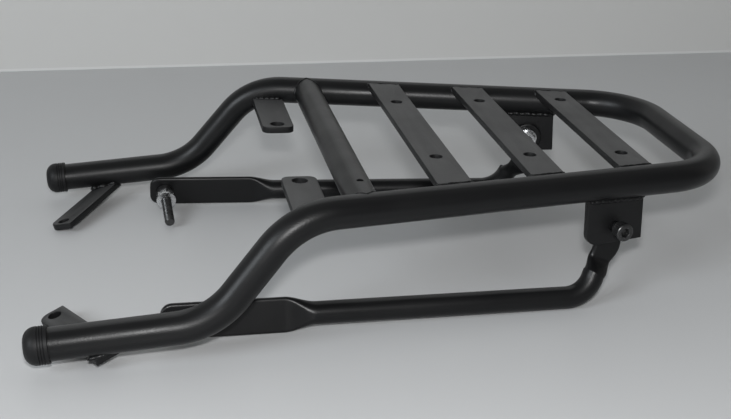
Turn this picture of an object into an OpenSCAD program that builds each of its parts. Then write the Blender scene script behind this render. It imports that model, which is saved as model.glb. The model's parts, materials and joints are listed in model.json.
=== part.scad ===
// Tubular rear luggage carrier: one bent main tube with flat deck strips,
// fixing tabs, two bracket plates and two swinging support struts.
// +X points to the rear, +Y to the right, +Z up. The origin is the centre
// of the footprint, at the level of the lowest points.

/* [Main tube] */
// Outside diameter of the main tube
tube_d = 22; // [20:0.5:25]
// Wall thickness of the main tube
tube_wall = 1.5; // [1:0.25:2.5]
// Length of the deck, from the top corner of the step to the rear hoop
deck_length = 320; // [290:1:360]
// Width of the deck between tube centres at the front
deck_front_w = 307; // [280:1:330]
// Width of the deck between tube centres at the rear corners, before rounding
deck_rear_w = 176; // [165:1:200]
// Bend radius of the two rear corners
corner_r = 54; // [45:1:60]
// Width between the centres of the two front arms
arm_w = 321; // [300:1:340]
// Length of each front arm, measured to the lower corner of the step
arm_length = 110; // [95:1:130]
// Fall of each front arm towards its front end
arm_fall = 10; // [0:0.5:15]
// Height of the step between arm and deck
step_h = 69; // [60:1:80]
// Horizontal run of the step
step_run = 54.6; // [45:0.2:65]
// Bend radius of the step's corners
step_r = 55; // [45:1:60]

/* [Cross tube and deck strips] */
// Distance of the cross tube behind the top corner of the step
cross_x = 46; // [42:1:60]
// Diameter of the vent hole in the cross tube
vent_d = 5; // [3:0.5:6]
// Distance of the first deck strip behind the top corner of the step
strip_x = 109; // [95:1:115]
// Distance from one deck strip to the next
strip_pitch = 69; // [60:1:72]
// Width of the flat bar used for strips and deck tabs
flat_w = 25; // [20:1:28]
// Thickness of the flat bar
flat_t = 5; // [4:0.5:6]
// Distance between the two holes in a strip
strip_hole_span = 140; // [100:1:144]
// Diameter of the strip holes
strip_hole_d = 9; // [6:0.5:11]

/* [Deck tabs] */
// Distance of the deck tabs behind the top corner of the step
deck_tab_x = 12.5; // [11:0.5:15]
// Distance from the centre plane to the inner end of a deck tab
deck_tab_in = 58.5; // [50:0.5:70]
// Depth of a deck tab's upper face below the tube's centre
deck_tab_drop = 5.7; // [4:0.1:7]
// Diameter of the holes in the deck tabs
tab_hole_d = 11; // [8:0.5:12]

/* [Front tabs] */
// Width of the flat bar used for the front tabs
front_tab_w = 20; // [18:1:25]
// Angle of a front tab from straight across
front_tab_turn = 28; // [15:1:35]
// Roll of a front tab towards the front
front_tab_roll = 16.5; // [5:0.5:20]
// Fall of a front tab from its root to its free end, in degrees
front_tab_pitch = 5; // [0:0.5:8]
// Reach of a front tab inward from the arm's centre, along the tab
front_tab_reach = 87; // [70:1:95]
// Distance of a front tab's root behind the arm's end
front_tab_back = 42.5; // [36:0.5:50]
// Length of a front tab outward of the arm's centre
front_tab_stub = 3; // [2:1:16]
// Distance from a front tab's hole to its free end
front_tab_edge = 7.5; // [7:0.5:12]
// Radius of the front corner of a front tab's free end
front_tab_round = 8; // [2:0.5:10]

/* [Bracket plates and struts] */
// Distance of the strut pivots behind the top corner of the step
pivot_x = 232; // [225:1:240]
// Depth of the strut pivots below the tube's centre
pivot_drop = 31.6; // [30:0.2:34]
// Length of a bracket plate along the tube
plate_w = 45; // [40:1:50]
// Depth of a bracket plate's lower edge below the pivot
plate_below = 12.2; // [12:0.2:16]
// Turn of a bracket plate about its pivot, lower edge to the rear
plate_turn = 3; // [0:0.5:4]
// Radius of a bracket plate's lower front corner
plate_corner_r = 9; // [5:1:12]
// Outside diameter of a strut
strut_d = 16; // [14:0.5:18]
// Distance of a strut's foot bend ahead of its pivot
foot_x = 17.5; // [14:0.5:22]
// Distance of a strut's foot bend outside its pivot
foot_out = 15; // [10:0.5:18]
// Depth of a strut's foot bend below its pivot
foot_drop = 49.8; // [49:0.2:54]
// Bend radius of a strut's foot
foot_r = 22; // [18:1:23]
// Distance from a strut's foot bend forward to its front hole
strut_length = 289; // [260:1:300]
// Outward run of a strut over that length
strut_splay = 12; // [0:1:20]
// Inward lean of a strut's flattened front end
strut_lean = 10; // [0:1:15]
// Width of a strut's flattened ends
strut_flat_w = 25; // [22:0.5:27]
// Thickness of a strut's flattened ends
strut_flat_t = 4; // [3:0.25:5]
// Width of a strut's pivot end at its waist
waist_w = 20; // [18:0.5:22]
// Width of a strut's pivot end where its neck starts
neck_w = 18; // [17:0.5:18]
// Length of a strut's flattened front end
strut_flat_l = 85; // [70:1:100]
// Distance from a strut's front hole to its front end
strut_edge = 12; // [9:0.5:14]
// Corner radius of a strut's front end
strut_end_r = 8; // [2:0.5:10.5]

/* [Fasteners and caps] */
// Thread diameter of the bolts
bolt_d = 8; // [6:1:10]
// Gap between bracket plate and pivot bolt head
head_gap = 6; // [0:0.5:8]
// Length of the loose bolt at the strut's front end
front_bolt_l = 55; // [45:5:65]
// Lean of the loose bolt towards the rear, which its hole's play allows
front_bolt_lean = 5; // [0:0.5:5]
// Outside diameter of the end caps
cap_d = 25; // [23:0.5:27]
// Full length of an end cap
cap_l = 16; // [14:1:20]
// Depth of an end cap's bore, which the tube's end fills
cap_bore = 7; // [5:0.5:7.5]
// Radius of an end cap's rounded edge
cap_round = 8; // [4:0.5:8]

/* [Hidden] */
$fn = 96;
EPS = 0.01;
// Lap of each straight into a bend, and how far a bend stands proud of it
LAP = 1;
PROUD = 0.05;
// How far a neck's ends lie inside the shapes it joins
NECK_IN = 0.3;
tube_r = tube_d / 2;
strut_r = strut_d / 2;
bolt_r = bolt_d / 2;
head_r = bolt_d * 0.8125;
head_h = bolt_d;
nut_af = bolt_d * 1.625;
nut_h = bolt_d * 0.8125;
washer_r = bolt_d;
washer_t = 1.6;
// Distance of an end cap's groove from its open edge, its width and depth
cap_groove = 4.6;
groove_w = 0.8;
groove_in = 0.4;
// How far bars run into the main tube's outline before they are cut to it
bar_in = 6;
// Depth of the strips' upper faces below the top of the tube
strip_sink = 0.4;
// How far a front tab's upper face lies above the bottom of the tube
front_tab_sink = 1.5;
// Corner radius of a deck tab's inner end, and its hole's distance from it
tab_corner_r = 6;
deck_tab_edge = 9.5;
// Distance of the vent hole from the left rail's axis
vent_in = 27;
// How far a pivot bolt stands past its nut
bolt_over = 2.5;
// A strut's pivot end narrows from a shoulder over a waist to its neck, given
// as distances from the pivot. The flat reaches beyond the plate's swing
pivot_shoulder = 4;
pivot_waist = 14;
pivot_flat_l = 27;
pivot_neck_l = 11;
front_neck_l = 18;
fit = 0.08;
press = 0.05;
gap = 0.3;
loose = 1;

// Corners of the right half of the main tube, in the deck's own frame,
// whose origin is on the centre plane at the step's top corner
rail_front = [-step_run - arm_length, arm_w / 2, -step_h - arm_fall];
rail_low = [-step_run, arm_w / 2, -step_h];
rail_high = [0, deck_front_w / 2, 0];
rail_rear = [deck_length, deck_rear_w / 2, 0];
RAIL = [rail_front, rail_low, rail_high, rail_rear,
        mirror_y(rail_rear), mirror_y(rail_high), mirror_y(rail_low), mirror_y(rail_front)];
RAIL_BENDS = [step_r, step_r, corner_r, corner_r, step_r, step_r];

// Angle of the side rails in plan, and the pivot on the right rail
rail_turn = atan2((deck_front_w - deck_rear_w) / 2, deck_length);
rail_out = [sin(rail_turn), cos(rail_turn), 0];
rail_at_pivot = [pivot_x, rail_y(pivot_x), -pivot_drop];
strut_plane = flat_t / 2 + gap + strut_flat_t / 2;
pivot = rail_at_pivot - strut_plane * rail_out;
foot = pivot + [-foot_x, foot_out, -foot_drop];
strut_front = foot + [-strut_length, strut_splay, 0];
strut_way = unit(foot - strut_front);
leg_way = unit(pivot - foot);
// The front flat's face direction, leaning from level by strut_lean
strut_side = unit(cross(strut_way, [0, 0, 1]));
flat_face = strut_side * cos(strut_lean) - cross(strut_side, strut_way) * sin(strut_lean);

// Offset from the deck's own frame to the centre of the footprint
arm_way = unit(rail_low - rail_front);
front_tab_root = rail_front + front_tab_back * arm_way - [0, 0, tube_r - front_tab_sink];
// Falls per length across and along a front tab, for its lowest point
tab_fall = [sin(front_tab_roll), sin(front_tab_pitch) * cos(front_tab_roll)];
lowest = -front_tab_root[2] + flat_t * cos(front_tab_pitch) * cos(front_tab_roll)
  + [front_tab_w / 2 - front_tab_round, front_tab_reach - front_tab_round] * tab_fall
  + front_tab_round * norm(tab_fall);
x_centre = (deck_length + tube_r + rail_front[0] - cap_l + cap_bore) / 2;
ORIGIN = [-x_centre, 0, lowest];

// Vectors and frames
function unit(v) = v / norm(v);
function mirror_y(p) = [p[0], -p[1], p[2]];
function rail_y(x) = deck_front_w / 2 - x * tan(rail_turn);
function turn_at(a, b, c) = acos(unit(b - a) * unit(c - b));
function cut_back(a, b, c, r) = r * tan(turn_at(a, b, c) / 2);

// Places children with their x, y and z axes along three unit vectors
module axes(p, x, y, z)
  multmatrix([[x[0], y[0], z[0], p[0]],
              [x[1], y[1], z[1], p[1]],
              [x[2], y[2], z[2], p[2]],
              [0, 0, 0, 1]])
    children();

// Places children with +z along way and +x as near as possible to up
module aim(p, way, up = [0, 0, 1]) {
  z = unit(way);
  y = unit(cross(z, up));
  axes(p, cross(y, z), y, z) children();
}

// A solid rod through the points, with a round bend at each inner point and
// its ends run on by over. The bends stand a hair proud of the straights
module bent_rod(points, bends, r, over = 0) {
  last = len(points) - 1;
  trims = [for (i = [0:last])
    (i == 0 || i == last) ? -over
      : cut_back(points[i - 1], points[i], points[i + 1], bends[i - 1]) - LAP];
  for (i = [0:last - 1]) {
    way = unit(points[i + 1] - points[i]);
    run = norm(points[i + 1] - points[i]) - trims[i] - trims[i + 1];
    aim(points[i] + trims[i] * way, way, abs(way[2]) > 0.9 ? [1, 0, 0] : [0, 0, 1])
      cylinder(h = run, r = r);
  }
  for (i = [1:last - 1])
    elbow(points[i - 1], points[i], points[i + 1], bends[i - 1], r + PROUD);
}

// One round bend at corner b, between the lines a-b and b-c
module elbow(a, b, c, bend, r) {
  way_in = unit(b - a);
  way_out = unit(c - b);
  up = unit(cross(way_in, way_out));
  side = cross(up, way_in);
  centre = b - cut_back(a, b, c, bend) * way_in + bend * side;
  axes(centre, -side, way_in, up)
    rotate_extrude(angle = turn_at(a, b, c))
      translate([bend, 0])
        circle(r = r);
}

// Either side, from the right-hand shape
module on_side(left) {
  if (left) mirror([0, 1, 0]) children();
  else children();
}

// From the deck's own frame to the object's origin
module placed() translate(ORIGIN) children();

module rail_solid() bent_rod(RAIL, RAIL_BENDS, tube_r);

module main_rail() color("#1b1b1d") placed()
  difference() {
    rail_solid();
    bent_rod(RAIL, RAIL_BENDS, tube_r - tube_wall, 1);
  }

module cross_tube() color("#1b1b1d") placed()
  difference() {
    translate([cross_x, 0, 0])
      rotate([90, 0, 0])
        cylinder(h = 2 * rail_y(cross_x), r = tube_r, center = true);
    translate([cross_x, 0, 0])
      rotate([90, 0, 0])
        cylinder(h = 2 * rail_y(cross_x) + 1, r = tube_r - tube_wall, center = true);
    translate([cross_x, -rail_y(cross_x) + vent_in, 0])
      cylinder(h = tube_d, d = vent_d);
    for (side = [-1, 1])
      side_rail(side, tube_r);
  }

// The straight length of one side rail of the deck, as a rod
module side_rail(side, r) {
  a = [rail_high[0], side * rail_high[1], 0];
  b = [rail_rear[0], side * rail_rear[1], 0];
  aim(a, b - a) cylinder(h = norm(b - a), r = r);
}

module deck_strip(i) color("#2a2a2c") placed() {
  x = strip_x + i * strip_pitch;
  top = tube_r - strip_sink;
  end_y = rail_y(x) - bar_in;
  slant = flat_w / 2 * tan(rail_turn);
  difference() {
    translate([x, 0, top - flat_t])
      linear_extrude(flat_t)
        polygon([[-flat_w / 2, -end_y - slant], [flat_w / 2, -end_y + slant],
                 [flat_w / 2, end_y - slant], [-flat_w / 2, end_y + slant]]);
    for (side = [-1, 1]) {
      side_rail(side, tube_r);
      translate([x, side * strip_hole_span / 2, 0])
        cylinder(h = tube_d, d = strip_hole_d);
    }
  }
}

module deck_tab(left) color("#2a2a2c") placed() on_side(left)
  difference() {
    translate([deck_tab_x, 0, -deck_tab_drop - flat_t])
      linear_extrude(flat_t)
        difference() {
          union() {
            translate([-flat_w / 2, deck_tab_in + tab_corner_r])
              square([flat_w, deck_front_w / 2 - deck_tab_in - bar_in - tab_corner_r]);
            translate([-flat_w / 2 + tab_corner_r, deck_tab_in])
              square([flat_w - 2 * tab_corner_r, 2 * tab_corner_r]);
            for (side = [-1, 1])
              translate([side * (flat_w / 2 - tab_corner_r), deck_tab_in + tab_corner_r])
                circle(r = tab_corner_r);
          }
          translate([0, deck_tab_in + deck_tab_edge])
            circle(d = tab_hole_d);
        }
    rail_solid();
  }

// A front tab's own frame: origin on the upper face at the root, x across
// the tab, y along it towards its free end
module at_front_tab()
  translate(front_tab_root)
    rotate([0, 0, 180 - front_tab_turn])
      rotate([-front_tab_pitch, front_tab_roll, 0])
        children();

module front_tab(left) color("#2a2a2c") placed() on_side(left)
  difference() {
    at_front_tab()
      difference() {
        translate([0, 0, -flat_t])
          linear_extrude(flat_t) {
            translate([-front_tab_w / 2, -front_tab_stub])
              square([front_tab_w - front_tab_round, front_tab_reach + front_tab_stub]);
            translate([-front_tab_w / 2, -front_tab_stub])
              square([front_tab_w, front_tab_reach + front_tab_stub - front_tab_round]);
            translate([front_tab_w / 2 - front_tab_round, front_tab_reach - front_tab_round])
              circle(r = front_tab_round);
          }
        translate([0, front_tab_reach - front_tab_edge, -flat_t - 1])
          cylinder(h = flat_t + 2, d = strip_hole_d);
      }
    rail_solid();
  }

// The bracket plate's frame: origin at the pivot, x along the rail to the
// rear, y up, z inward
module at_plate()
  axes(rail_at_pivot, [cos(rail_turn), -sin(rail_turn), 0], [0, 0, 1], -rail_out)
    children();

module bracket(left) color("#232325") placed() on_side(left)
  difference() {
    at_plate() rotate(plate_turn)
      translate([0, 0, -flat_t / 2])
        linear_extrude(flat_t)
          difference() {
            union() {
              translate([-plate_w / 2 + plate_corner_r, -plate_below])
                square([plate_w - plate_corner_r, pivot_drop + plate_below - bar_in]);
              translate([-plate_w / 2, -plate_below + plate_corner_r])
                square([plate_w, pivot_drop + plate_below - plate_corner_r - bar_in]);
              translate([-plate_w / 2 + plate_corner_r, -plate_below + plate_corner_r])
                circle(r = plate_corner_r);
            }
            circle(r = bolt_r + fit);
          }
    rail_solid();
  }

// A strut: a flattened end at the pivot, a round tube down to the foot bend
// and forward, and a flattened front end
module strut(left) color("#1b1b1d") placed() on_side(left) {
  neck_top = pivot - pivot_flat_l * leg_in_plate();
  neck_low = pivot - (pivot_flat_l + pivot_neck_l) * leg_way;
  neck_back = strut_front + (strut_flat_l - strut_edge) * strut_way;
  neck_tube = neck_back + front_neck_l * strut_way;
  difference() {
    union() {
      bent_rod([neck_tube, foot, neck_low], [foot_r], strut_r);
      // Flattened end at the pivot, in the bracket plate's plane
      pivot_end(pivot, -leg_in_plate(), rail_out);
      neck(neck_top + LAP * leg_in_plate(), leg_in_plate(), rail_out, neck_w,
           neck_low - LAP * leg_way, leg_way);
      // Flattened front end, leaning inward
      front_end(strut_front, strut_way, flat_face);
      neck(neck_back - LAP * strut_way, strut_way, flat_face, strut_flat_w,
           neck_tube + LAP * strut_way, strut_way);
    }
    aim(pivot, rail_out) cylinder(h = 30, r = bolt_r + fit, center = true);
    aim(strut_front, flat_face) cylinder(h = 30, d = strip_hole_d, center = true);
  }
}

// Direction from the foot to the pivot, laid into the bracket plate's plane
function leg_in_plate() = unit(leg_way - (leg_way * rail_out) * rail_out);

// The flattened end at the pivot p: round about it, and narrowing along way
module pivot_end(p, way, face)
  axes(p, way, cross(face, way), face)
    translate([0, 0, -strut_flat_t / 2])
      linear_extrude(strut_flat_t) {
        circle(d = strut_flat_w);
        shoulder = strut_flat_w / 2 - PROUD;
        polygon([[0, -shoulder], [pivot_shoulder, -shoulder], [pivot_waist, -waist_w / 2],
                 [pivot_flat_l, -neck_w / 2], [pivot_flat_l, neck_w / 2], [pivot_waist, waist_w / 2],
                 [pivot_shoulder, shoulder], [0, shoulder]]);
      }

// The flattened front end, with its hole at point p and rounded corners
// beyond it, running along way
module front_end(p, way, face)
  axes(p, way, cross(face, way), face)
    translate([0, 0, -strut_flat_t / 2])
      linear_extrude(strut_flat_t) {
        translate([strut_end_r - strut_edge, -strut_flat_w / 2])
          square([strut_flat_l - strut_end_r, strut_flat_w]);
        translate([-strut_edge, strut_end_r - strut_flat_w / 2])
          square([strut_flat_l / 2, strut_flat_w - 2 * strut_end_r]);
        for (side = [-1, 1])
          translate([strut_end_r - strut_edge, side * (strut_flat_w / 2 - strut_end_r)])
            circle(r = strut_end_r);
      }

// The neck from inside a flattened end at point p to inside the round tube
// at point q
module neck(p, way, face, wide, q, tube_way)
  hull() {
    axes(p, way, cross(face, way), face)
      cube([EPS, wide - 2 * NECK_IN, strut_flat_t - 2 * NECK_IN], center = true);
    aim(q, tube_way)
      cylinder(h = EPS, r = strut_r - NECK_IN, $fn = 32);
  }

module end_cap(left) color("#151516") placed() on_side(left)
  aim(rail_front + cap_bore * arm_way, -arm_way)
    rotate_extrude()
      difference() {
        union() {
          square([cap_d / 2 - groove_in, cap_l - cap_round]);
          square([cap_d / 2, cap_groove]);
          translate([0, cap_groove + groove_w])
            square([cap_d / 2, cap_l - cap_round - cap_groove - groove_w]);
          translate([cap_d / 2 - cap_round, cap_l - cap_round])
            intersection() {
              circle(r = cap_round);
              square(cap_round);
            }
          translate([0, cap_l - cap_round])
            square([cap_d / 2 - cap_round, cap_round]);
        }
        translate([-1, -1])
          square([tube_r - press + 1, cap_bore + 1]);
      }

// A socket head bolt with its head's underside at z = 0 and its shank down
module bolt(length)
  difference() {
    union() {
      cylinder(h = head_h, r = head_r);
      translate([0, 0, -length])
        cylinder(h = length + 1, r = bolt_r);
    }
    translate([0, 0, head_h / 2])
      cylinder(h = head_h, r = bolt_d * 0.433, $fn = 6);
  }

// A hexagon nut, chamfered on its upper side, standing on z = 0
module nut()
  difference() {
    intersection() {
      cylinder(h = nut_h, d = nut_af / cos(30), $fn = 6);
      rotate_extrude()
        polygon([[0, 0], [nut_af / 2 + 1.2, 0], [nut_af / 2 + 1.2, nut_h - 0.9],
                 [nut_af / 2 - 0.4, nut_h], [0, nut_h]]);
    }
    translate([0, 0, -1])
      cylinder(h = nut_h + 2, r = bolt_r - 0.3);
  }

module washer()
  difference() {
    cylinder(h = washer_t, r = washer_r);
    translate([0, 0, -1])
      cylinder(h = washer_t + 2, r = bolt_r + 0.2);
  }

// Distances inward from the rail's centre plane, along the pivot
strut_inner = flat_t / 2 + 2 * gap + strut_flat_t;
nut_inner = strut_inner + washer_t;

module pivot_bolt(left) color("#141415") placed() on_side(left)
  aim(rail_at_pivot + (flat_t / 2 + head_gap) * rail_out, rail_out)
    bolt(flat_t / 2 + head_gap + nut_inner + nut_h + bolt_over);

module pivot_washer(left) color("silver") placed() on_side(left)
  aim(rail_at_pivot - strut_inner * rail_out, -rail_out)
    washer();

module pivot_nut(left) color("silver") placed() on_side(left)
  aim(rail_at_pivot - nut_inner * rail_out, -rail_out)
    nut();

// The loose bolt in the right strut's front hole. Its parts are stacked
// inward from the flattened end's centre plane
bolt_way = unit(flat_face + tan(front_bolt_lean) * strut_way);
spacer_from = strut_flat_t / 2 + loose;
spacer_l = 6.5;
module on_bolt(distance)
  placed()
    aim(strut_front + distance * bolt_way, bolt_way)
      children();

module front_bolt() color("#141415") placed()
  aim(strut_front - spacer_from * bolt_way, -bolt_way)
    bolt(front_bolt_l);

module front_bolt_spacer() color("#141415") on_bolt(spacer_from)
  difference() {
    cylinder(h = spacer_l, r = washer_r - 0.8);
    translate([0, 0, -1])
      cylinder(h = spacer_l + 2, r = bolt_r + 0.2);
  }

module front_bolt_nut() color("silver") on_bolt(spacer_from + spacer_l)
  nut();

module front_bolt_washer() color("silver") on_bolt(spacer_from + spacer_l + nut_h)
  washer();

main_rail();
cross_tube();
deck_strip(0);  // deck_strip_front
deck_strip(1);  // deck_strip_middle
deck_strip(2);  // deck_strip_rear
deck_tab(true);  // deck_tab_left
deck_tab(false);  // deck_tab_right
front_tab(true);  // front_tab_left
front_tab(false);  // front_tab_right
bracket(true);  // bracket_left
bracket(false);  // bracket_right
strut(true);  // strut_left
strut(false);  // strut_right
end_cap(true);  // end_cap_left
end_cap(false);  // end_cap_right
pivot_bolt(true);  // pivot_bolt_left
pivot_bolt(false);  // pivot_bolt_right
pivot_washer(true);  // pivot_washer_left
pivot_washer(false);  // pivot_washer_right
pivot_nut(true);  // pivot_nut_left
pivot_nut(false);  // pivot_nut_right
front_bolt();
front_bolt_spacer();
front_bolt_washer();
front_bolt_nut();
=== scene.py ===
import json
import math
import random
from collections import namedtuple

import bpy
import bmesh
from mathutils import Matrix, Vector


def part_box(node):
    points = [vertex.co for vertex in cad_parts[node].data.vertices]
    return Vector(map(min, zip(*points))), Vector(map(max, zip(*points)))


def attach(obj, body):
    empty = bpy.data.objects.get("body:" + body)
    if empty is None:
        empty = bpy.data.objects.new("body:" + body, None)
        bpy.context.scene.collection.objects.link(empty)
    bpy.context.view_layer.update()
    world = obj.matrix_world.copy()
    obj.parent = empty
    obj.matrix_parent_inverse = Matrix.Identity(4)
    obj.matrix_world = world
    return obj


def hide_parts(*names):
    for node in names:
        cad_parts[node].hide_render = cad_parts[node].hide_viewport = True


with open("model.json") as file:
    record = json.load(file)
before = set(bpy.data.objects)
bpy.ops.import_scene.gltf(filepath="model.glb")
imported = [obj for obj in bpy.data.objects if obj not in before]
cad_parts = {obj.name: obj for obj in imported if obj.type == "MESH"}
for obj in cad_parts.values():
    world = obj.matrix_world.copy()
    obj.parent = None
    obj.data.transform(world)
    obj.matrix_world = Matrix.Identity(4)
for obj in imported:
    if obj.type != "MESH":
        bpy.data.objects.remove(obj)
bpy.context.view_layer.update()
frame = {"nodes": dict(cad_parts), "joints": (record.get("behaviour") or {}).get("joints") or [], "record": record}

# ---------------------------------------------------------------- the frame's places
# Lengths below are millimetres in the deck's own frame: x = 0 at the step's top
# corner, z = 0 at the side rails' axis. Sizes of one sub-part stand above it.
TUBE_R = 11.0
DECK_L = 320.0
DECK_FRONT = 153.5      # half-spacing of the side rails at the step
DECK_REAR = 88.0        # and at the rear corners
ARM_HALF = 160.5
ARM_L = 110.0
ARM_FALL = 10.0
STEP_H = 69.0
STEP_RUN = 54.6
STEP_BEND = 55.0
CORNER_BEND = 54.0
TURN = math.atan2(DECK_FRONT - DECK_REAR, DECK_L)
HOLE_R = 4.5            # clearance hole for an M8 bolt
SIDES = ((-1, "left"), (1, "right"))

rail_hi = Vector(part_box("main_rail")[1])
cross_lo, cross_hi = (Vector(c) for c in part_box("cross_tube"))
ORIGIN = Vector((rail_hi.x - (DECK_L + TUBE_R) / 1000, 0, (cross_lo.z + cross_hi.z) / 2))
UP = Vector((0, 0, 1))

joints = {j["name"]: j for j in frame["joints"]}
mounts = {m["name"]: m for m in frame["record"]["mounts"]}


def at(p):
    """Deck-frame millimetres to row-frame metres."""
    return Vector(p) / 1000 + ORIGIN


def mm(p):
    """Row-frame metres to deck-frame millimetres."""
    return (Vector(p) - ORIGIN) * 1000


def mid(node):
    """The middle of a CAD node's box."""
    lo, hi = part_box(node)
    return mm((Vector(lo) + Vector(hi)) / 2)


def flip(v, side):
    """A right-hand vector, mirrored where side is -1."""
    return Vector((v[0], side * v[1], v[2]))


# ---------------------------------------------------------------- materials
def shader(name, color, rough, metallic=0.0):
    """A material, its nodes, its links and its Principled shader."""
    material = bpy.data.materials.new(name)
    material.use_nodes = True
    nodes, links = material.node_tree.nodes, material.node_tree.links
    bsdf = nodes["Principled BSDF"]
    bsdf.inputs["Base Color"].default_value = (*color, 1)
    bsdf.inputs["Roughness"].default_value = rough
    bsdf.inputs["Metallic"].default_value = metallic
    return material, nodes, links, bsdf


def noise(nodes, links, scale, detail, rough=0.5):
    """Noise in the object's own coordinates."""
    place = nodes.new("ShaderNodeTexCoord")
    texture = nodes.new("ShaderNodeTexNoise")
    texture.inputs["Scale"].default_value = scale
    texture.inputs["Detail"].default_value = detail
    texture.inputs["Roughness"].default_value = rough
    links.new(place.outputs["Object"], texture.inputs["Vector"])
    return texture.outputs["Fac"]


def ramp(nodes, links, source, lo, hi, start=0.35, end=0.65):
    """The source's range from start to end, stretched to run from lo to hi."""
    stretch = nodes.new("ShaderNodeMapRange")
    stretch.inputs["From Min"].default_value = start
    stretch.inputs["From Max"].default_value = end
    stretch.inputs["To Min"].default_value = lo
    stretch.inputs["To Max"].default_value = hi
    links.new(source, stretch.inputs["Value"])
    return stretch.outputs["Result"]


def bumped(nodes, links, bsdf, height, strength, distance):
    bump = nodes.new("ShaderNodeBump")
    bump.inputs["Strength"].default_value = strength
    bump.inputs["Distance"].default_value = distance
    links.new(height, bump.inputs["Height"])
    links.new(bump.outputs["Normal"], bsdf.inputs["Normal"])


def powder_coat(name, color, rough, grain, top):
    """Satin black powder coat: a fine orange peel, with painted sheen: its colour is lighter by top where it faces
    up, standing in for the bright wall's reflection.
    """
    material, nodes, links, bsdf = shader(name, color, rough)
    bumped(nodes, links, bsdf, noise(nodes, links, 900, 2.0, 0.55), grain, 0.0004)
    slow = noise(nodes, links, 24, 3.0)
    links.new(ramp(nodes, links, slow, rough - 0.04, rough + 0.05), bsdf.inputs["Roughness"])
    bsdf.inputs["Specular IOR Level"].default_value = 0.28
    # Painted sheen: upward faces get a lighter base colour, standing in for the wall's reflection on the tops.
    level = nodes.new("ShaderNodeSeparateXYZ")
    links.new(nodes.new("ShaderNodeTexCoord").outputs["Normal"], level.inputs[0])
    painted_top_sheen = nodes.new("ShaderNodeMix")
    painted_top_sheen.data_type = "RGBA"
    painted_top_sheen.inputs["A"].default_value = (*color, 1)
    painted_top_sheen.inputs["B"].default_value = (*(c + top for c in color), 1)
    links.new(ramp(nodes, links, level.outputs["Z"], 0.0, 1.0, 0.90, 0.99), painted_top_sheen.inputs["Factor"])
    links.new(painted_top_sheen.outputs["Result"], bsdf.inputs["Base Color"])
    return material


def plastic(name):
    """Dull black moulded plastic."""
    material, nodes, links, bsdf = shader(name, (0.007, 0.007, 0.0075), 0.5)
    bsdf.inputs["Specular IOR Level"].default_value = 0.25
    bumped(nodes, links, bsdf, noise(nodes, links, 1500, 1.0), 0.25, 0.0002)
    return material


def oxide(name):
    """Black-oxide steel, polished unevenly by handling."""
    material, nodes, links, bsdf = shader(name, (0.009, 0.009, 0.0095), 0.28)
    links.new(ramp(nodes, links, noise(nodes, links, 260, 3.0), 0.22, 0.42), bsdf.inputs["Roughness"])
    bsdf.inputs["Specular IOR Level"].default_value = 0.8
    return material


def zinc(name):
    """Bright zinc plate with a fine grain."""
    material, nodes, links, bsdf = shader(name, (0.66, 0.67, 0.68), 0.25, 1.0)
    fine = noise(nodes, links, 500, 3.0)
    links.new(ramp(nodes, links, fine, 0.18, 0.38), bsdf.inputs["Roughness"])
    bumped(nodes, links, bsdf, fine, 0.15, 0.0002)
    return material


# The last number of each powder coat is its painted sheen: how much lighter its upward faces are coloured.
LOOK = {
    "powder_coat_tube": powder_coat("coat_tube", (0.0052, 0.0053, 0.0057), 0.36, 0.18, 0.030),
    "powder_coat_flat": powder_coat("coat_flat", (0.0062, 0.0063, 0.0067), 0.46, 0.25, 0.060),
    "cap_plastic": plastic("cap_black"),
    "black_fastener": oxide("black_oxide"),
    "zinc": zinc("bright_zinc"),
}
slot_of = {s["node"]: s["material_slot"] for s in frame["record"]["subparts"]}
for node_name, node in frame["nodes"].items():
    node.data.materials.clear()
    node.data.materials.append(LOOK[slot_of[node_name]])


# ---------------------------------------------------------------- mesh helpers
def cleaned(me, join):
    """The mesh with points nearer than join made one, and its faces turned outward."""
    bm = bmesh.new()
    bm.from_mesh(me)
    bmesh.ops.remove_doubles(bm, verts=bm.verts, dist=join)
    bmesh.ops.recalc_face_normals(bm, faces=bm.faces)
    bm.to_mesh(me)
    bm.free()


def linked(name, me):
    ob = bpy.data.objects.new(name, me)
    bpy.context.scene.collection.objects.link(ob)
    return ob


def mesh_object(name, verts, faces, slot, body=None):
    """A smooth-shaded piece in the slot's material. Without a body, the caller makes it ride."""
    me = bpy.data.meshes.new(name)
    me.from_pydata([at(v) for v in verts], [], faces)
    cleaned(me, 2e-7)
    me.materials.append(LOOK[slot])
    me.polygons.foreach_set("use_smooth", [True] * len(me.polygons))
    ob = linked(name, me)
    if body:
        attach(ob, body)
    return ob


def ring(centre, radius, s, u, n):
    """n points round a circle in the plane of s and u."""
    return [centre + radius * (math.cos(a) * s + math.sin(a) * u)
            for a in (2 * math.pi * k / n for k in range(n))]


def skin(rings):
    """Points and faces over a list of rings of equal length, closed at both ends."""
    k = len(rings[0])
    faces = []
    for i in range(len(rings) - 1):
        for j in range(k):
            a, b = i * k + j, i * k + (j + 1) % k
            faces.append((a, b, b + k, a + k))
    faces.append(tuple(range(k)))
    faces.append(tuple((len(rings) - 1) * k + j for j in range(k)))
    return [v for r in rings for v in r], faces


def sharpen(ob, degrees):
    """Smooth shading that stays crisp over real edges."""
    me = ob.data
    bm = bmesh.new()
    bm.from_mesh(me)
    for e in bm.edges:
        e.smooth = len(e.link_faces) == 2 and e.calc_face_angle(0) < math.radians(degrees)
    for f in bm.faces:
        f.smooth = True
    bm.to_mesh(me)
    bm.free()
    return ob


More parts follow.
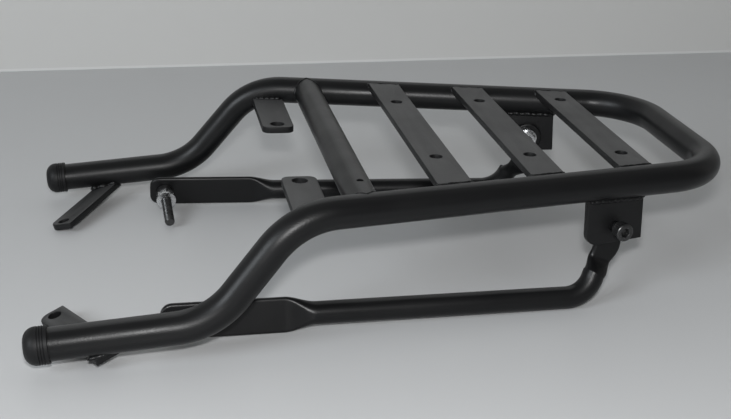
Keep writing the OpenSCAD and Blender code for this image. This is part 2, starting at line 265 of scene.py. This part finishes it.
def filleted(points, bends, step=3.0):
    """The points with a round bend at each inner corner, a point every step degrees."""
    pts = [Vector(p) for p in points]
    out = [pts[0]]
    for i in range(1, len(pts) - 1):
        a, b, c, r = pts[i - 1], pts[i], pts[i + 1], bends[i - 1]
        u, w = (b - a).normalized(), (c - b).normalized()
        turn = u.angle(w)
        cut = r * math.tan(turn / 2)
        axis = u.cross(w).normalized()
        centre = b - cut * u + r * axis.cross(u)
        start = (b - cut * u) - centre
        n = max(4, int(math.degrees(turn) / step))
        for k in range(n + 1):
            out.append(centre + Matrix.Rotation(turn * k / n, 3, axis) @ start)
    out.append(pts[-1])
    return out


def subdivide(points, gap):
    """The polyline with more points, about gap apart."""
    out = [points[0]]
    for a, b in zip(points, points[1:]):
        n = max(1, int((b - a).length / gap))
        out += [a.lerp(b, k / n) for k in range(1, n + 1)]
    return out


def transport(points, side):
    """Two directions square to the line at each point, turned as little as possible."""
    frames = []
    for i in range(len(points)):
        t = (points[min(i + 1, len(points) - 1)] - points[max(i - 1, 0)]).normalized()
        side = (side - side.dot(t) * t).normalized()
        frames.append((side, t.cross(side)))
    return frames


BAR = 25.0      # width of the strips and the deck tabs
BAR_T = 5.0     # thickness of every flat bar
EDGE_R = 0.55   # radius of their softened edges
LEVEL = ((1, 0, 0), (0, 1, 0), (0, 0, 1))


def plate(name, node, outline, holes, bevel, axes, origin):
    """A flat bar of the frame from its outline, with holes and softened edges. Its
    middle plane goes through origin, and axes are its x, y and z in the deck frame."""
    cu = bpy.data.curves.new(name, "CURVE")
    cu.dimensions = "2D"
    cu.fill_mode = "BOTH"
    cu.extrude = (BAR_T / 2 - bevel) / 1000
    cu.bevel_depth = bevel / 1000
    cu.bevel_resolution = 3
    cu.offset = -bevel / 1000
    x, y = Vector((1, 0)), Vector((0, 1))
    for rim in [outline] + [ring(Vector((hx, hy)), hr, x, y, 48) for hx, hy, hr in holes]:
        sp = cu.splines.new("POLY")
        sp.points.add(len(rim) - 1)
        for q, (px, py) in zip(sp.points, rim):
            q.co = (px / 1000, py / 1000, 0, 1)
        sp.use_cyclic_u = True
    flat = linked(name + "_curve", cu)
    me = bpy.data.meshes.new_from_object(flat.evaluated_get(bpy.context.evaluated_depsgraph_get()))
    bpy.data.objects.remove(flat)
    bpy.data.curves.remove(cu)
    m = Matrix(axes).transposed().to_4x4()
    m.translation = at(origin)
    me.transform(m)
    cleaned(me, 1e-6)
    me.name = name
    me.materials.clear()
    me.materials.append(LOOK["powder_coat_flat"])
    ob = sharpen(linked(name, me), 40)
    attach(ob, "frame")
    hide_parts(node)


def rounded(corners, steps=6):
    """A closed outline from (x, y, corner radius)."""
    out = []
    n = len(corners)
    for i in range(n):
        (ax, ay, _), (bx, by, r), (cx, cy, _) = corners[i - 1], corners[i], corners[(i + 1) % n]
        a, b, c = Vector((ax, ay)), Vector((bx, by)), Vector((cx, cy))
        u, w = (a - b).normalized(), (c - b).normalized()
        half = u.angle(w) / 2
        cut = r / math.tan(half)
        centre = b + (u + w).normalized() * (r / math.sin(half))
        p, q = b + cut * u - centre, b + cut * w - centre
        turn = p.angle_signed(q)
        for k in range(steps + 1):
            s = -turn * k / steps
            out.append((centre.x + p.x * math.cos(s) - p.y * math.sin(s),
                        centre.y + p.x * math.sin(s) + p.y * math.cos(s)))
    return out


def weld(name, points, r, lump, depth=0.3, seed=1):
    """A weld bead under paint: a soft cord of radius r along the joint with tapered
    ends. Its lumps are lump long, and depth is the share of r that they take."""
    rnd = random.Random(seed)
    pts = subdivide([Vector(p) for p in points], 0.6)
    total = sum((b - a).length for a, b in zip(pts, pts[1:]))
    waves = [(rnd.uniform(0.6, 1.4) / lump, rnd.uniform(0, 6.3)) for _ in range(3)]
    rings, run = [], 0.0
    closed = (pts[0] - pts[-1]).length < 1
    for i, (p, (s, u)) in enumerate(zip(pts, transport(pts, Vector((0.3, 0.2, 1))))):
        if i:
            run += (p - pts[i - 1]).length
        ends = 1.0 if closed else min(1.0, math.sqrt(max(0.02, min(run, total - run) / (r * 1.3))))
        ripple = abs(math.sin(math.pi * run / lump + waves[0][1])) ** 0.8
        wander = sum(math.sin(2 * math.pi * f * run * 0.37 + ph) for f, ph in waves) / 3
        bead_r = r * ends * (1 - depth + depth * ripple + 0.12 * wander)
        rings.append(ring(p + 0.15 * r * wander * s, bead_r, s, u, 14))
    mesh_object(name, *skin(rings), "powder_coat_tube", "frame")


# ---------------------------------------------------------------- the bent main tube
half_rail = [(-STEP_RUN - ARM_L, ARM_HALF, -STEP_H - ARM_FALL), (-STEP_RUN, ARM_HALF, -STEP_H),
             (0, DECK_FRONT, 0), (DECK_L, DECK_REAR, 0)]
rail_line = filleted(half_rail + [flip(p, -1) for p in reversed(half_rail)],
                     [STEP_BEND, STEP_BEND, CORNER_BEND, CORNER_BEND, STEP_BEND, STEP_BEND])
ARM = (Vector(half_rail[1]) - Vector(half_rail[0])).normalized()


def main_tube():
    points = subdivide(rail_line, 12)
    rings = [ring(p, TUBE_R, s, u, 72) for p, (s, u) in zip(points, transport(points, UP))]
    ob = sharpen(mesh_object("rail_tube", *skin(rings), "powder_coat_tube", "frame"), 50)
    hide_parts("main_rail")


def rail_centre(x):
    """The right-hand side of the rail's centre line at x."""
    for a, b in zip(rail_line, rail_line[1:]):
        if a.x <= x <= b.x and b.x > a.x:
            return a.lerp(b, (x - a.x) / (b.x - a.x))
    raise ValueError(x)


def rail_y(x):
    """Half the distance between the straight side rails' axes at x."""
    return DECK_FRONT - x * math.tan(TURN)


def tube_side(across):
    """How far a 22 mm tube's surface is from its axis plane, at a distance across it."""
    return math.sqrt(max(0, TUBE_R ** 2 - across * across))


def beside(x, inward, z, side):
    """A point at a distance inward of the straight side rail's axis plane."""
    return Vector((x, side * (rail_y(x) - inward / math.cos(TURN)), z))


main_tube()

# ---------------------------------------------------------------- strips
STRIP_SHORT = 6.0       # how far the strips' ends stop short of the rails' axes
SEAM_HALF = 12.0        # half-length of the seams along a strip's end
TOP_SEAM = (5.6, 9.7)   # the upper one's place, inward of and above the rail's axis
LOW_SEAM = (10.2, 4.9)
SIDE_SEAM = 12.6        # the short ones' distance from the strip's middle
STRIP_HALF_HOLES = mounts["deck_holes_outer"]["dims"]["spacing_y_mm"] / 2


def strip(name, k):
    c = mid(name)
    ends = [(sx * BAR / 2, sy * (rail_y(c.x + sx * BAR / 2) - STRIP_SHORT), 1.0)
            for sx, sy in ((-1, -1), (1, -1), (1, 1), (-1, 1))]
    holes = [(0, s * STRIP_HALF_HOLES, HOLE_R) for s in (-1, 1)]
    plate("bar_" + name, name, rounded(ends), holes, EDGE_R, LEVEL, (c.x, 0, c.z))
    for side, tag in SIDES:
        over = [beside(c.x + t * SEAM_HALF, *TOP_SEAM, side) for t in (-1, -0.5, 0, 0.5, 1)]
        weld(f"weld_{name}_top_{tag}", over, 1.35, lump=5.0, depth=0.25, seed=10 * k + side)
        under = [beside(c.x + t * SEAM_HALF, *LOW_SEAM, side) for t in (-1, 0, 1)]
        weld(f"weld_{name}_under_{tag}", under, 1.9, lump=4.2, seed=31 * k + side)
        for dx, end in ((-SIDE_SEAM, "a"), (SIDE_SEAM, "b")):
            line = [beside(c.x + dx, d, tube_side(d) + 0.1, side) for d in (4.5, 5.5, 6.5, 7.5, 8.5, 9.3)]
            weld(f"weld_{name}_{end}_{tag}", line, 1.3, lump=3.0, seed=57 * k + side)


for k, name in enumerate(("deck_strip_front", "deck_strip_middle", "deck_strip_rear")):
    strip(name, k)

# ---------------------------------------------------------------- deck tabs
DECK_TAB_OUT = 147.0    # the outer end, hidden under the rail
DECK_TAB_HOLE = 9.5     # from the inner end to the hole's centre
DECK_TAB_HOLE_R = 5.5


def deck_tab(side, tag):
    name = "deck_tab_" + tag
    c = mid(name)
    lo, hi = (mm(v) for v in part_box(name))
    inner = min(abs(lo.y), abs(hi.y))
    top = lo.z + BAR_T
    outline = rounded([(-BAR / 2, inner, 6), (BAR / 2, inner, 6),
                       (BAR / 2, DECK_TAB_OUT, 1), (-BAR / 2, DECK_TAB_OUT, 1)])
    plate("bar_" + name, name, [(x, side * y) for x, y in outline],
          [(0, side * (inner + DECK_TAB_HOLE), DECK_TAB_HOLE_R)], EDGE_R,
          LEVEL, (c.x, 0, lo.z + BAR_T / 2))
    line = []
    for dx in (-11.5, -6, 0, 6, 11.5):
        q = rail_centre(c.x + dx)
        line.append(Vector((c.x + dx, side * (q.y - tube_side(top - q.z) - 0.4), top + 0.3)))
    weld("weld_" + name, line, 1.9, lump=4.5, depth=0.4, seed=7 + side)


for side, tag in SIDES:
    deck_tab(side, tag)

# ---------------------------------------------------------------- front tabs
TAB_TURN = 28.0
TAB_ROLL = 16.5
TAB_PITCH = 5.0
TAB_W = 20.0
TAB_REACH = 79.5        # from the arm's axis to the hole
TAB_STUB = 3.0          # past the arm's axis
TAB_EDGE = 7.5          # from the hole to the outer end
TAB_ROUND = 8.0         # the outer end's one round corner
TAB_CRISP = 0.8
# where, distance inward of the arm's axis, places along the arm, radius, lump, depth
TAB_WELDS = (
    ("inner", 6.8, (-15, -10, -5, 0, 5, 9), 3.0, 8.5, 0.62),
    ("outer", -5.6, (-12, -9, -6, -3, 0), 1.5, 4.5, 0.3),
)


def front_tab(side, tag):
    name = "front_tab_" + tag
    mount = mounts["front_tab_hole_" + tag]
    z = Vector(mount["axis"]).normalized()
    hole = mm(mount["pos_m"])
    # y runs along the tab, from the arm to the hole
    y = flip(Matrix.Rotation(math.radians(180 - TAB_TURN), 3, "Z")
             @ Matrix.Rotation(math.radians(TAB_ROLL), 3, "Y")
             @ Matrix.Rotation(math.radians(-TAB_PITCH), 3, "X") @ Vector((0, 1, 0)), side)
    half, back = TAB_W / 2, -(TAB_REACH + TAB_STUB)
    near_r, far_r = (TAB_ROUND, TAB_CRISP) if side > 0 else (TAB_CRISP, TAB_ROUND)
    outline = rounded([(-half, back, 1), (half, back, 1),
                       (half, TAB_EDGE, near_r), (-half, TAB_EDGE, far_r)], 10)
    plate("bar_" + name, name, outline, [(0, 0, HOLE_R)], 0.6, (y.cross(z), y, z), hole)
    face = hole + z * BAR_T / 2
    root = face - y * TAB_REACH
    for where, inward, places, r, lump, depth in TAB_WELDS:
        line = []
        for t in places:
            p = root + ARM * t + Vector((0, -side * inward, 0))
            p.z = face.z - (z.x * (p.x - face.x) + z.y * (p.y - face.y)) / z.z + 0.6
            line.append(p)
        weld(f"weld_{name}_{where}", line, r, lump=lump, depth=depth, seed=3 + side)


for side, tag in SIDES:
    front_tab(side, tag)

# ---------------------------------------------------------------- bracket plates
PLATE_TURN = math.radians(3)
PLATE_HALF = 22.5
PLATE_BELOW = 12.2      # from the pivot down to the lower edge
PLATE_TOP = 7.0         # upper edge, below the rail's axis
PLATE_HOLE_R = 4.08     # close round the pivot bolt's shank
PLATE_SEAM = 11.2       # seams along the plate, below the rail's axis
PLATE_END_SEAM = 11.0   # seams across its ends


def bracket(side, tag):
    name = "bracket_" + tag
    pivot = mm(joints[f"strut_{tag}_swing"]["pos_m"])
    x = Vector((math.cos(TURN), -side * math.sin(TURN), 0))
    z = x.cross(UP)
    turned_x = x * math.cos(PLATE_TURN) + UP * math.sin(PLATE_TURN)
    turned_y = UP * math.cos(PLATE_TURN) - x * math.sin(PLATE_TURN)
    high = -pivot.z - PLATE_TOP
    outline = rounded([(-PLATE_HALF, -PLATE_BELOW, 9), (PLATE_HALF, -PLATE_BELOW, 0.8),
                       (PLATE_HALF, high, 1), (-PLATE_HALF, high, 1)], 10)
    plate("plate_" + name, name, outline, [(0, 0, PLATE_HOLE_R)], EDGE_R, (turned_x, turned_y, z), pivot)
    rise = -pivot.z - PLATE_SEAM
    shift = -rise * math.sin(PLATE_TURN)
    for face, where in ((1, "a"), (-1, "b")):
        line = [pivot + x * (t + shift) + z * face * 3.3 + UP * rise for t in (-21.5, -10, 0, 10, 21.5)]
        weld(f"weld_{name}_{where}", line, 1.9, lump=5.0, depth=0.35, seed=21 + side + face)
    for end in (-1, 1):
        line = [pivot + x * (end * PLATE_HALF + shift) + z * t + UP * (-pivot.z - PLATE_END_SEAM)
                for t in (-3.5, 0, 3.5)]
        weld(f"weld_{name}_end{end + 1}", line, 1.7, lump=4.0, depth=0.3, seed=41 + side + end)


for side, tag in SIDES:
    bracket(side, tag)


# ---------------------------------------------------------------- cross tube joints
def cross_weld(side, tag):
    """A bead all round the cross tube, where it meets the side rail."""
    cx = mid("cross_tube").x
    line = []
    for k in range(61):
        a = 2 * math.pi * k / 60
        x = cx + TUBE_R * math.cos(a)
        inward = TUBE_R * abs(math.cos(a)) + 0.3
        line.append(Vector((x, side * (DECK_FRONT - (inward + x * math.sin(TURN)) / math.cos(TURN)),
                            (TUBE_R - 0.4) * math.sin(a))))
    weld(f"weld_cross_tube_{tag}", line, 1.2, lump=4.5, depth=0.3, seed=77 + side)


for side, tag in SIDES:
    cross_weld(side, tag)

# ---------------------------------------------------------------- the struts
STRUT_R = 8.0
STRUT_IN = 4.8                          # flattened end's middle, inward of the plate's
FOOT = Vector((-17.5, 15, -49.8))       # from the pivot to the foot's corner
STRAIGHT = Vector((-289, 12, 0))        # from the foot's corner to the front hole
FOOT_BEND = 22.0
FOOT_REST = 15.0                        # lowest point, ahead of the foot's corner
STRUT_LEAN = math.radians(10)           # roll of the flattened front end
FLAT_W = 12.5                           # a flattened end's half-width
FLAT_T = 2.0                            # and its half-thickness
FRONT_EDGE = 12.0                       # front hole to the strut's end
FRONT_R = 8.0                           # the front end's corners
FLAT_TO = 71.0                          # the front end is flat this far past its hole
ROUND_FROM = 93.0                       # and round from here on
NECK_LOW = 38.0                         # the leg is round from here down, below the pivot
SWING_CLEAR = 25.8                      # the plate's corner swings past above this
SHOULDER = 4.0                          # full width down to here, below the pivot
WAIST = 3.3                             # how much narrower the thin neck gets each side
NECK_SWELL = 0.8                        # how much thicker it gets each side
REAR_SWEEP = 6.5                        # how far the leg bows rearward

# A cross-section: its middle, half-width, half-thickness and face direction. It is
# square to the path, or to square where that is given.
Station = namedtuple("Station", "place wide thick face square", defaults=(None,))


def stadium(a, b, k):
    """k points evenly round a slot shape of half-width a and half-thickness b."""
    b = min(a, b)
    flat, arc = 2 * (a - b), math.pi * b
    total = 2 * (flat + arc)
    out = []
    for i in range(k):
        s = (total * i / k + arc / 2) % total
        if s < arc:
            t = s / b - math.pi / 2
            out.append((a - b + b * math.cos(t), b * math.sin(t)))
        elif s < arc + flat:
            out.append((a - b - (s - arc), b))
        elif s < 2 * arc + flat:
            t = (s - arc - flat) / b + math.pi / 2
            out.append((-(a - b) + b * math.cos(t), b * math.sin(t)))
        else:
            out.append((-(a - b) + (s - 2 * arc - flat), -b))
    return out


def blend(t):
    """0 to 1 with a soft start and end."""
    t = max(0.0, min(1.0, t))
    return t * t * (3 - 2 * t)


def front_stations(front, way, face):
    """The flattened front end, its rounded edge first, then its neck up to full round."""
    out = []
    for k in range(13):
        s = FRONT_R * (1 - math.cos(math.pi / 2 * k / 12))
        wide = FLAT_W - FRONT_R + math.sqrt(max(0.0, FRONT_R ** 2 - (FRONT_R - s) ** 2))
        out.append(Station(front - (FRONT_EDGE - s) * way, wide, FLAT_T, face))
    start = FRONT_R - FRONT_EDGE
    for k in range(1, 17):
        out.append(Station(front + (start + (FLAT_TO - start) * k / 16) * way, FLAT_W, FLAT_T, face))
    for k in range(1, 21):
        t = blend(k / 20)
        out.append(Station(front + (FLAT_TO + (ROUND_FROM - FLAT_TO) * k / 20) * way,
                           FLAT_W + (STRUT_R - FLAT_W) * t, FLAT_T + (STRUT_R - FLAT_T) * t, face))
    return out


def round_stations(points, face, leg_face):
    """The round tube along the points, turning from the one face to the other."""
    return [Station(p, STRUT_R, STRUT_R, face.lerp(leg_face, blend(k / (len(points) + 1))))
            for k, p in enumerate(points, 1)]


def leg_stations(pivot, neck_low, leg_flat, out_way):
    """From the round leg up to the eye. The outer face stays in its plane where the
    plate's corner swings past."""
    down = (neck_low - pivot).dot(-leg_flat)
    off = (neck_low - pivot).dot(out_way)
    rearward = out_way.cross(leg_flat)
    out = []
    for k in range(1, 35):
        d = down + (SHOULDER - down) * k / 34
        rise = blend((d - SWING_CLEAR) / (down - SWING_CLEAR))
        wide = FLAT_W - WAIST * blend((d - 6) / 24) - (FLAT_W - WAIST - STRUT_R) * rise
        flat = FLAT_T + NECK_SWELL * blend((d - 12) / (SWING_CLEAR - 12))
        thick = flat + (STRUT_R - flat) * rise
        sweep = REAR_SWEEP * math.sin(math.pi * max(0.0, d - SHOULDER) / (down - SHOULDER))
        outward = (FLAT_T - flat) * (1 - rise) + off * rise
        out.append(Station(pivot - d * leg_flat + sweep * rearward + outward * out_way,
                           wide, thick, -out_way, leg_flat))
    return out


def eye_stations(pivot, leg_flat, out_way):
    """The pivot end's eye, round over the top."""
    out = [Station(pivot - (SHOULDER - SHOULDER * k / 3) * leg_flat, FLAT_W, FLAT_T, -out_way)
           for k in range(1, 4)]
    for k in range(1, 13):
        s = FLAT_W * math.sin(math.pi / 2 * k / 12)
        wide = math.sqrt(max(0.05, FLAT_W ** 2 - s * s))
        out.append(Station(pivot + s * leg_flat, wide, FLAT_T, -out_way))
    return out


def section(stations, i, side):
    """The ring of points at station i, on the given side of the rack."""
    p, wide, thick, face, square = stations[i]
    ahead, behind = stations[min(i + 1, len(stations) - 1)].place, stations[max(i - 1, 0)].place
    t = square or (ahead - behind).normalized()
    normal = (face - face.dot(t) * t).normalized()
    across = normal.cross(t)
    return [flip(p + u * across + v * normal, side) for u, v in stadium(wide, thick, 72)]


def drilled(ob, centre, axis, x):
    """The piece with the front hole cut clean through it."""
    y = axis.cross(x)
    ends = [ring(centre + axis * h, HOLE_R, x, y, 48) for h in (-8, 8)]
    bit = mesh_object(ob.name + "_bit", *skin(ends), "powder_coat_tube")
    mod = ob.modifiers.new("hole", "BOOLEAN")
    mod.operation = "DIFFERENCE"
    mod.solver = "EXACT"
    mod.object = bit
    cut = bpy.data.meshes.new_from_object(ob.evaluated_get(bpy.context.evaluated_depsgraph_get()))
    ob.modifiers.clear()
    ob.data = cut
    bpy.data.objects.remove(bit)


def strut(side, tag):
    """One strut, worked out as the right-hand one and mirrored for the left."""
    out_way = Vector((math.sin(TURN), math.cos(TURN), 0))
    pivot = flip(mm(joints[f"strut_{tag}_swing"]["pos_m"]), side) - STRUT_IN * out_way
    foot = pivot + FOOT
    front = foot + STRAIGHT
    way, leg = (foot - front).normalized(), (pivot - foot).normalized()
    leg_flat = (leg - leg.dot(out_way) * out_way).normalized()
    level = way.cross(UP).normalized()
    face = level * math.cos(STRUT_LEAN) - level.cross(way) * math.sin(STRUT_LEAN)
    neck_low = pivot - NECK_LOW * leg
    bend = subdivide(filleted([front + ROUND_FROM * way, foot, neck_low], [FOOT_BEND]), 8)
    stations = (front_stations(front, way, face) + round_stations(bend[1:], face, -out_way)
                + leg_stations(pivot, neck_low, leg_flat, out_way) + eye_stations(pivot, leg_flat, out_way))
    rings = [section(stations, i, side) for i in range(len(stations))]
    ob = mesh_object("tube_strut_" + tag, *skin(rings), "powder_coat_tube")
    drilled(ob, flip(front, side), flip(face, side), flip(way, side))
    sharpen(ob, 48)
    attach(ob, "strut_" + tag)
    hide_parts("strut_" + tag)


for side, tag in SIDES:
    strut(side, tag)

# ---------------------------------------------------------------- socket bolts
HEAD_R = 6.5
HEAD_H = 8.0
SOCKET_HALF = 3.0       # half across the hexagon socket's flats
SHANK_R = 4.0
ROOT_R = 3.45           # bottom of the thread
THREAD_H = 0.53
PITCH = 1.25


def socket_bolt(name, node, body, under, way, shank, plain):
    """A socket head bolt: knurled head along way from under, shank behind it, of which
    the first plain millimetres have no thread."""
    way = way.normalized()
    sx = way.orthogonal().normalized()
    sy = way.cross(sx)
    n = 96

    def turned(z, radius):
        """The ring at height z, whose radius is a number or follows the point's index."""
        return [under + way * z + (radius(k) if callable(radius) else radius)
                * (math.cos(2 * math.pi * k / n) * sx + math.sin(2 * math.pi * k / n) * sy)
                for k in range(n)]

    def knurl(k):
        return HEAD_R - (0.22 if k % 4 < 2 else 0.0)

    def hexagon(k):
        a = (2 * math.pi * k / n) % (math.pi / 3) - math.pi / 6
        return SOCKET_HALF / math.cos(a)

    def ridge(z):
        return lambda k: ROOT_R + THREAD_H * abs(2 * ((z / PITCH - k / n) % 1.0) - 1)

    rings = [turned(HEAD_H * 0.35, 0.01), turned(HEAD_H * 0.42, lambda k: hexagon(k) * 0.6),
             turned(HEAD_H * 0.45, hexagon), turned(HEAD_H - 0.4, hexagon),
             turned(HEAD_H, lambda k: hexagon(k) + 0.35), turned(HEAD_H, HEAD_R - 0.9),
             turned(HEAD_H - 0.15, HEAD_R - 0.5), turned(HEAD_H - 0.7, HEAD_R - 0.05),
             turned(HEAD_H - 0.75, knurl), turned(1.0, knurl), turned(0.9, HEAD_R - 0.1),
             turned(0.25, HEAD_R - 0.1), turned(0, HEAD_R - 0.4), turned(0, SHANK_R + 0.3),
             turned(-0.4, SHANK_R), turned(-plain, SHANK_R - 0.02)]
    z = plain
    while z < shank - 0.9:
        z += 0.16
        rings.append(turned(-z, ridge(z)))
    rings += [turned(-shank + 0.35, 3.3), turned(-shank, 2.9), turned(-shank, 0.01)]
    ob = sharpen(mesh_object(name, *skin(rings), "black_fastener", body), 38)
    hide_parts(node)


for side, tag in SIDES:
    out_way = Vector((math.sin(TURN), side * math.cos(TURN), 0))
    pivot = mm(joints[f"strut_{tag}_swing"]["pos_m"])
    socket_bolt("bolt_pivot_" + tag, "pivot_bolt_" + tag, "frame",
                under=pivot + 8.5 * out_way, way=out_way, shank=26.2, plain=17.0)
spin = joints["front_bolt_spin"]
spin_way = Vector(spin["axis"])
socket_bolt("bolt_front", "front_bolt", "front_bolt_set",
            under=mm(spin["pos_m"]) - 3.0 * spin_way, way=-spin_way, shank=55.0, plain=20.0)

# ---------------------------------------------------------------- end caps
CAP_R = 12.5
CAP_L = 16.0
CAP_OVER = 7.0          # how far the cap reaches back over the tube
CAP_ROUND = 8.0
GROOVE_IN = 0.45
GROOVES = (2.6, 4.3, 6.0)


def end_cap(side, tag):
    """A cap turned from its profile of (radius, height), with three grooves."""
    way = flip(-ARM, side)
    sx = way.orthogonal().normalized()
    sy = way.cross(sx)
    base = flip(half_rail[0], side) - way * CAP_OVER
    profile = [(TUBE_R + 0.1, 0.0), (CAP_R - 0.4, 0.0), (CAP_R, 0.4), (CAP_R, 2.2)]
    for groove in GROOVES:
        profile += [(CAP_R, groove - 0.25), (CAP_R - GROOVE_IN, groove),
                    (CAP_R - GROOVE_IN, groove + 0.25), (CAP_R, groove + 0.5)]
    profile += [(CAP_R - CAP_ROUND * (1 - math.cos(a)), CAP_L - CAP_ROUND * (1 - math.sin(a)))
                for a in (math.pi / 2 * k / 14 for k in range(15))]
    profile += [(2.5, CAP_L), (0.01, CAP_L)]
    rings = [ring(base + way * z, r, sx, sy, 72) for r, z in profile]
    cap = sharpen(mesh_object("cap_" + tag, *skin(rings), "cap_plastic", "frame"), 28)
    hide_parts("end_cap_" + tag)


for side, tag in SIDES:
    end_cap(side, tag)

# ---------------------------------------------------------------- floor and wall
# The floor tilts so that the front tabs and the struts' feet both rest on it. From
# here on, places are metres in the row's frame unless at() turns them into that.
tab_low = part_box("front_tab_left")[0]
left_pivot = mm(joints["strut_left_swing"]["pos_m"])
strut_low = at((left_pivot.x + FOOT.x - FOOT_REST, 0, left_pivot.z + FOOT.z - STRUT_R))
slope = (strut_low.z - tab_low[2]) / (strut_low.x - tab_low[0])


def floor_z(x):
    return tab_low[2] + slope * (x - tab_low[0]) - 0.0002


def stage_plane(name, corners, material):
    me = bpy.data.meshes.new(name)
    me.from_pydata(corners, [], [(0, 1, 2, 3)])
    me.materials.append(material)
    linked(name, me)


def upright(name, start, end, height, material):
    """A plane that stands on the floor from start to end."""
    feet = [(p.x, p.y, floor_z(p.x)) for p in (start, end)]
    tops = [(x, y, z + height) for x, y, z in reversed(feet)]
    stage_plane(name, feet + tops, material)


def one_sided(nodes, links, bsdf):
    """Clear from the back, so that the wall never hides the object from behind."""
    clear = nodes.new("ShaderNodeBsdfTransparent")
    pick = nodes.new("ShaderNodeMixShader")
    links.new(nodes.new("ShaderNodeNewGeometry").outputs["Backfacing"], pick.inputs["Fac"])
    links.new(bsdf.outputs["BSDF"], pick.inputs[1])
    links.new(clear.outputs["BSDF"], pick.inputs[2])
    links.new(pick.outputs["Shader"], nodes["Material Output"].inputs["Surface"])


def stage_materials():
    """The table's, the wall's and the wall foot's materials."""
    table, _, _, bsdf = shader("table", (0.59, 0.595, 0.60), 0.42)
    bsdf.inputs["Specular IOR Level"].default_value = 0.35
    wall, nodes, links, bsdf = shader("wall", (0.63, 0.625, 0.61), 0.8)
    one_sided(nodes, links, bsdf)
    pale_strip, nodes, links, bsdf = shader("pale_strip", (0.70, 0.70, 0.69), 0.7)
    one_sided(nodes, links, bsdf)
    return table, wall, pale_strip


WALL_LEFT = Vector((-0.3277, 0.6097))
WALL_RIGHT = Vector((0.5722, 0.5839))
FLOOR_SPREAD = 2.0      # how far the floor and wall go past those points
FLOOR_DEPTH = 3.0       # how far the floor goes before and behind the wall
table_mat, wall_mat, pale_strip_mat = stage_materials()
along = (WALL_RIGHT - WALL_LEFT).normalized()
toward = Vector((along.y, -along.x))
wl, wr = WALL_LEFT - along * FLOOR_SPREAD, WALL_RIGHT + along * FLOOR_SPREAD
near = toward * FLOOR_DEPTH
stage_plane("table_top", [(p.x, p.y, floor_z(p.x)) for p in (wl + near, wr + near, wr - near, wl - near)],
            table_mat)
upright("back_wall", wl, wr, 2.5, wall_mat)
# A thin pale strip along the wall's foot, lighter than the wall.
upright("wall_foot", wl + toward * 0.004, wr + toward * 0.004, 0.003, pale_strip_mat)

# ---------------------------------------------------------------- camera and light
cam_data = bpy.data.cameras.new("camera")
cam_data.lens = 64.05
cam_data.sensor_width = 36
cam_data.clip_start = 0.02
cam = linked("camera", cam_data)
right = Vector((0.98340, -0.17760, 0.03719))
down = Vector((-0.02821, -0.35210, -0.93554))
ahead = Vector((0.17925, 0.91896, -0.35127))
pose = Matrix((right, -down, -ahead)).transposed().to_4x4()
pose.translation = at((-106.027, -919.390, 296.614))
cam.matrix_world = pose
bpy.context.scene.camera = cam


def area(name, place, target, size, power, color=(1, 1, 1)):
    """A rectangular light at place that faces target."""
    d = bpy.data.lights.new(name, "AREA")
    d.shape = "RECTANGLE"
    d.size, d.size_y = size
    d.energy = power
    d.color = color
    facing = (Vector(place) - Vector(target)).to_track_quat("Z", "Y").to_matrix().to_4x4()
    linked(name, d).matrix_world = Matrix.Translation(place) @ facing


def room():
    """Dim light from all round, brighter from the side beyond the wall."""
    world = bpy.data.worlds.new("room")
    world.use_nodes = True
    nodes, links = world.node_tree.nodes, world.node_tree.links
    way_to = nodes.new("ShaderNodeSeparateXYZ")
    links.new(nodes.new("ShaderNodeTexCoord").outputs["Generated"], way_to.inputs[0])
    level = ramp(nodes, links, way_to.outputs["Y"], 0.16, 1.05, -0.2, 0.75)
    links.new(level, nodes["Background"].inputs["Strength"])
    nodes["Background"].inputs["Color"].default_value = (0.80, 0.80, 0.79, 1)
    return world


flash = Vector(cam.matrix_world.translation) + Vector((0, 0, 0.085))
area("flash", flash, (0.0, 0.0, 0.05), (0.06, 0.04), 6.0)
area("window", (-2.1, -1.5, 1.25), (0, 0.1, 0), (1.3, 1.0), 36.0, (0.90, 0.955, 1.0))
bpy.context.scene.world = room()
bpy.context.scene.view_settings.view_transform = "Standard"
